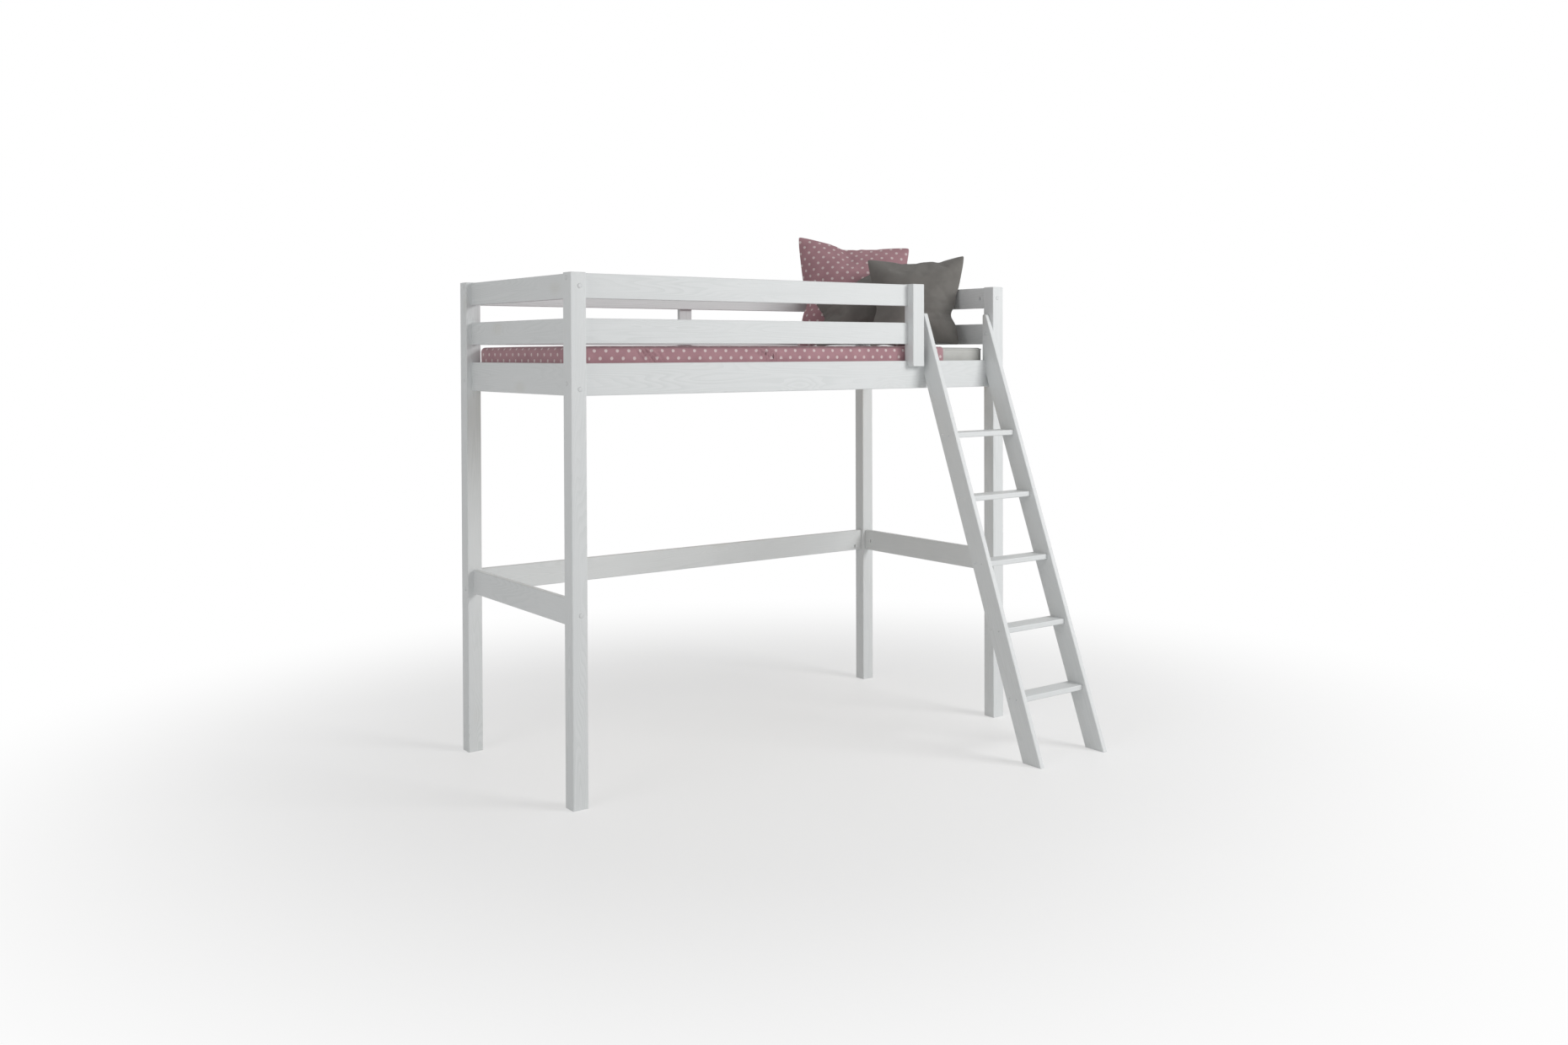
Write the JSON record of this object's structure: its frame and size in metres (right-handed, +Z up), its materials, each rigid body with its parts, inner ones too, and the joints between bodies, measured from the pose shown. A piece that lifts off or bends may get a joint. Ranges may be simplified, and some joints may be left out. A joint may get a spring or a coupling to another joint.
{
  "type": "loft bed",
  "caption": "Loft bed of painted pine with guard rails all round, a slatted base over open space, a slanting ladder hooked over the side rail, and a mattress with cover and pillows.",
  "frame": {"origin": "on the floor, at the middle of the footprint of the bed and its ladder", "axes": "+Z up; +X along the bed towards the head end, where the ladder and pillows are; -Y towards the side that the ladder stands on"},
  "size_m": [2.101, 1.663, 2.1722],
  "materials": {
    "painted_pine": "satin white paint over brushed pine grain",
    "slat_pine": "planed, unpainted",
    "zinc_steel": "zinc plated",
    "cap_plastic": "matt",
    "tape_webbing": "woven webbing",
    "mattress_ticking": "woven cotton",
    "dotted_cotton": "printed cotton, pale dots on dusty pink",
    "grey_cotton": "plain woven cotton"
  },
  "bodies": {
    "root": {"bed_cover": "dotted_cotton", "bolt_caps": "cap_plastic", "dotted_pillow": "dotted_cotton", "end_rail_bolts": "zinc_steel", "front_guard_upright": "painted_pine", "front_left_post": "painted_pine", "front_low_guard_rail": "painted_pine", "front_right_post": "painted_pine", "front_side_rail": "painted_pine", "front_slat_ledge": "slat_pine", "front_top_guard_rail": "painted_pine", "ladder_bolt": "zinc_steel", "ladder_insert_nut": "zinc_steel", "ladder_left_stile": "painted_pine", "ladder_right_stile": "painted_pine", "ladder_tread_1": "painted_pine", "ladder_tread_2": "painted_pine", "ladder_tread_3": "painted_pine", "ladder_tread_4": "painted_pine", "ladder_tread_5": "painted_pine", "left_crossbar": "painted_pine", "left_end_rail": "painted_pine", "left_low_guard_rail": "painted_pine", "left_top_guard_rail": "painted_pine", "long_rail_bolts": "zinc_steel", "mattress": "mattress_ticking", "plain_pillow": "grey_cotton", "rail_nuts": "zinc_steel", "rear_crossbar": "painted_pine", "rear_guard_upright": "painted_pine", "rear_left_post": "painted_pine", "rear_low_guard_rail": "painted_pine", "rear_right_post": "painted_pine", "rear_side_rail": "painted_pine", "rear_slat_ledge": "slat_pine", "rear_top_guard_rail": "painted_pine", "right_crossbar": "painted_pine", "right_end_rail": "painted_pine", "right_low_guard_rail": "painted_pine", "right_top_guard_rail": "painted_pine", "slat_01": "slat_pine", "slat_02": "slat_pine", "slat_03": "slat_pine", "slat_04": "slat_pine", "slat_05": "slat_pine", "slat_06": "slat_pine", "slat_07": "slat_pine", "slat_08": "slat_pine", "slat_09": "slat_pine", "slat_10": "slat_pine", "slat_11": "slat_pine", "slat_12": "slat_pine", "slat_13": "slat_pine", "slat_14": "slat_pine", "slat_tapes": "tape_webbing", "slumped_pillow": "grey_cotton"}
  },
  "joints": []
}
